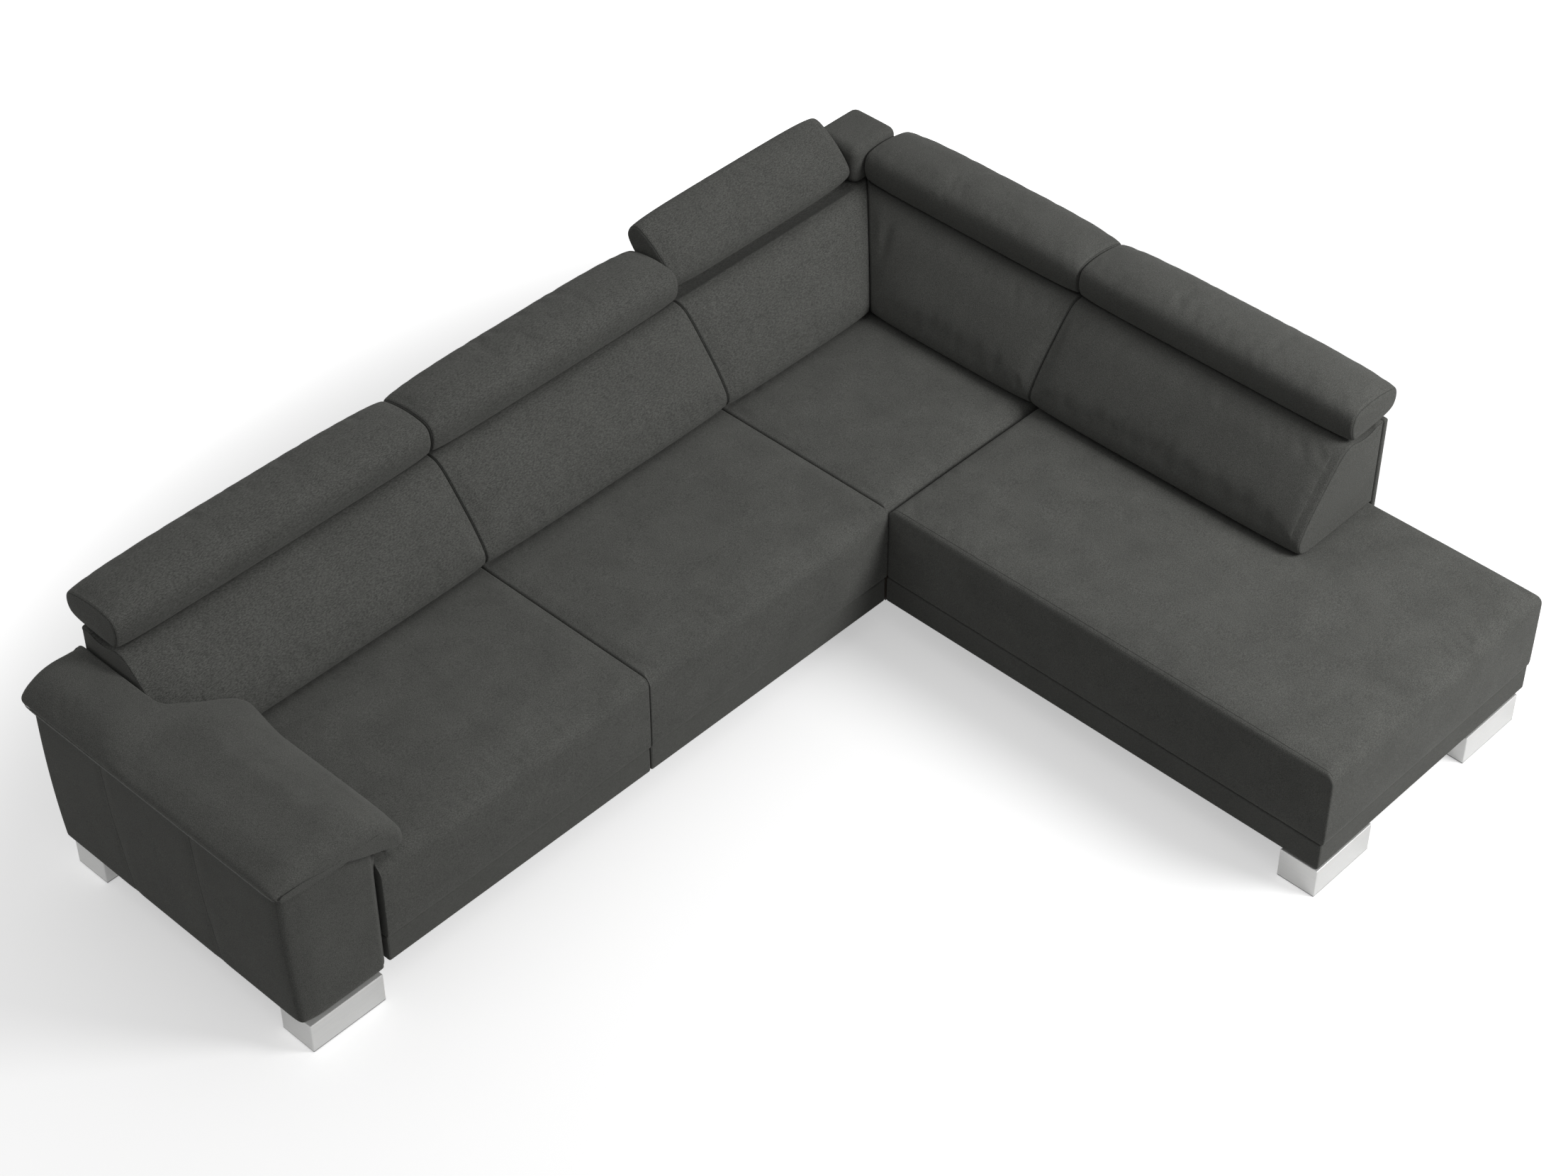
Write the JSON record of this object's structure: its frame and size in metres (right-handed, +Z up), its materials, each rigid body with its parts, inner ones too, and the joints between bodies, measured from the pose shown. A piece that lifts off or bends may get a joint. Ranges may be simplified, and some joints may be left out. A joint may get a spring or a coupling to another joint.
{
  "type": "corner sofa with chaise and tilting headrests",
  "caption": "L-shaped corner sofa in grey woven fabric with a chaise end, one padded arm, silver block feet and headrests that tilt up one by one.",
  "frame": {"origin": "on the floor under the middle of the sofa's overall box", "axes": "+X along the long wing from the arm to the corner, +Y to the rear of that wing, +Z up; the chaise runs towards -Y"},
  "size_m": [3.1892, 2.5516, 0.9256],
  "materials": {
    "fabric_grey": "woven flat cloth, matt, over foam",
    "pine_frame": "sawn softwood and board, unfinished",
    "hinge_steel": "zinc-plated pressed steel",
    "spring_steel": "oiled spring wire",
    "foot_silver": "satin silver with eased edges",
    "dust_cloth": "thin black non-woven cloth",
    "black_plastic": "moulded, matt"
  },
  "bodies": {
    "base": {"arm_body": "fabric_grey", "arm_frame": "pine_frame", "arm_pad": "fabric_grey", "arm_spacer": "pine_frame", "back_board_wing": "pine_frame", "back_cushion_1": "fabric_grey", "back_cushion_2": "fabric_grey", "back_cushion_3": "fabric_grey", "back_cushion_4": "fabric_grey", "back_cushion_5": "fabric_grey", "back_frame_chaise": "pine_frame", "back_frame_corner": "pine_frame", "back_frame_corner_side": "pine_frame", "back_frame_wing": "pine_frame", "chaise_frame": "pine_frame", "chaise_lining": "dust_cloth", "corner_block": "fabric_grey", "corner_frame": "pine_frame", "corner_lining": "dust_cloth", "foot_arm_front": "foot_silver", "foot_arm_rear": "foot_silver", "foot_chaise_left": "foot_silver", "foot_chaise_right": "foot_silver", "headrest_bracket_1": "hinge_steel", "headrest_bracket_2": "hinge_steel", "headrest_bracket_3": "hinge_steel", "headrest_bracket_4": "hinge_steel", "headrest_bracket_5": "hinge_steel", "plinth_panel_1": "fabric_grey", "plinth_panel_2": "fabric_grey", "plinth_panel_chaise": "fabric_grey", "rear_cover_corner": "fabric_grey", "rear_cover_wing": "fabric_grey", "seat_cushion_1": "fabric_grey", "seat_cushion_2": "fabric_grey", "seat_cushion_chaise": "fabric_grey", "seat_cushion_corner": "fabric_grey", "seat_springs_1": "spring_steel", "seat_springs_2": "spring_steel", "seat_springs_chaise": "spring_steel", "seat_springs_corner": "spring_steel", "side_cover_chaise": "fabric_grey", "side_cover_corner": "fabric_grey", "support_leg_1": "black_plastic", "support_leg_2": "black_plastic", "support_leg_3": "black_plastic", "support_leg_4": "black_plastic", "support_leg_5": "black_plastic", "wing_frame": "pine_frame", "wing_lining": "dust_cloth"},
    "headrest_1": {"headrest_1": "fabric_grey", "headrest_frame_1": "hinge_steel"},
    "headrest_2": {"headrest_2": "fabric_grey", "headrest_frame_2": "hinge_steel"},
    "headrest_3": {"headrest_3": "fabric_grey", "headrest_frame_3": "hinge_steel"},
    "headrest_4": {"headrest_4": "fabric_grey", "headrest_frame_4": "hinge_steel"},
    "headrest_5": {"headrest_5": "fabric_grey", "headrest_frame_5": "hinge_steel"}
  },
  "joints": [
    {"name": "headrest_1_tilt", "type": "hinge", "parent": "base", "child": "headrest_1", "pos_m": [-0.87025, 1.1355, 0.835], "axis": [1, 0, 0], "range_deg": [0, 55]},
    {"name": "headrest_2_tilt", "type": "hinge", "parent": "base", "child": "headrest_2", "pos_m": [0.128, 1.1355, 0.835], "axis": [1, 0, 0], "range_deg": [0, 55]},
    {"name": "headrest_3_tilt", "type": "hinge", "parent": "base", "child": "headrest_3", "pos_m": [0.97125, 1.1355, 0.835], "axis": [1, 0, 0], "range_deg": [-45, 10]},
    {"name": "headrest_4_tilt", "type": "hinge", "parent": "base", "child": "headrest_4", "pos_m": [1.4555, 0.67125, 0.835], "axis": [0, -1, 0], "range_deg": [0, 55]},
    {"name": "headrest_5_tilt", "type": "hinge", "parent": "base", "child": "headrest_5", "pos_m": [1.4555, -0.21825, 0.835], "axis": [0, -1, 0], "range_deg": [0, 55]}
  ]
}
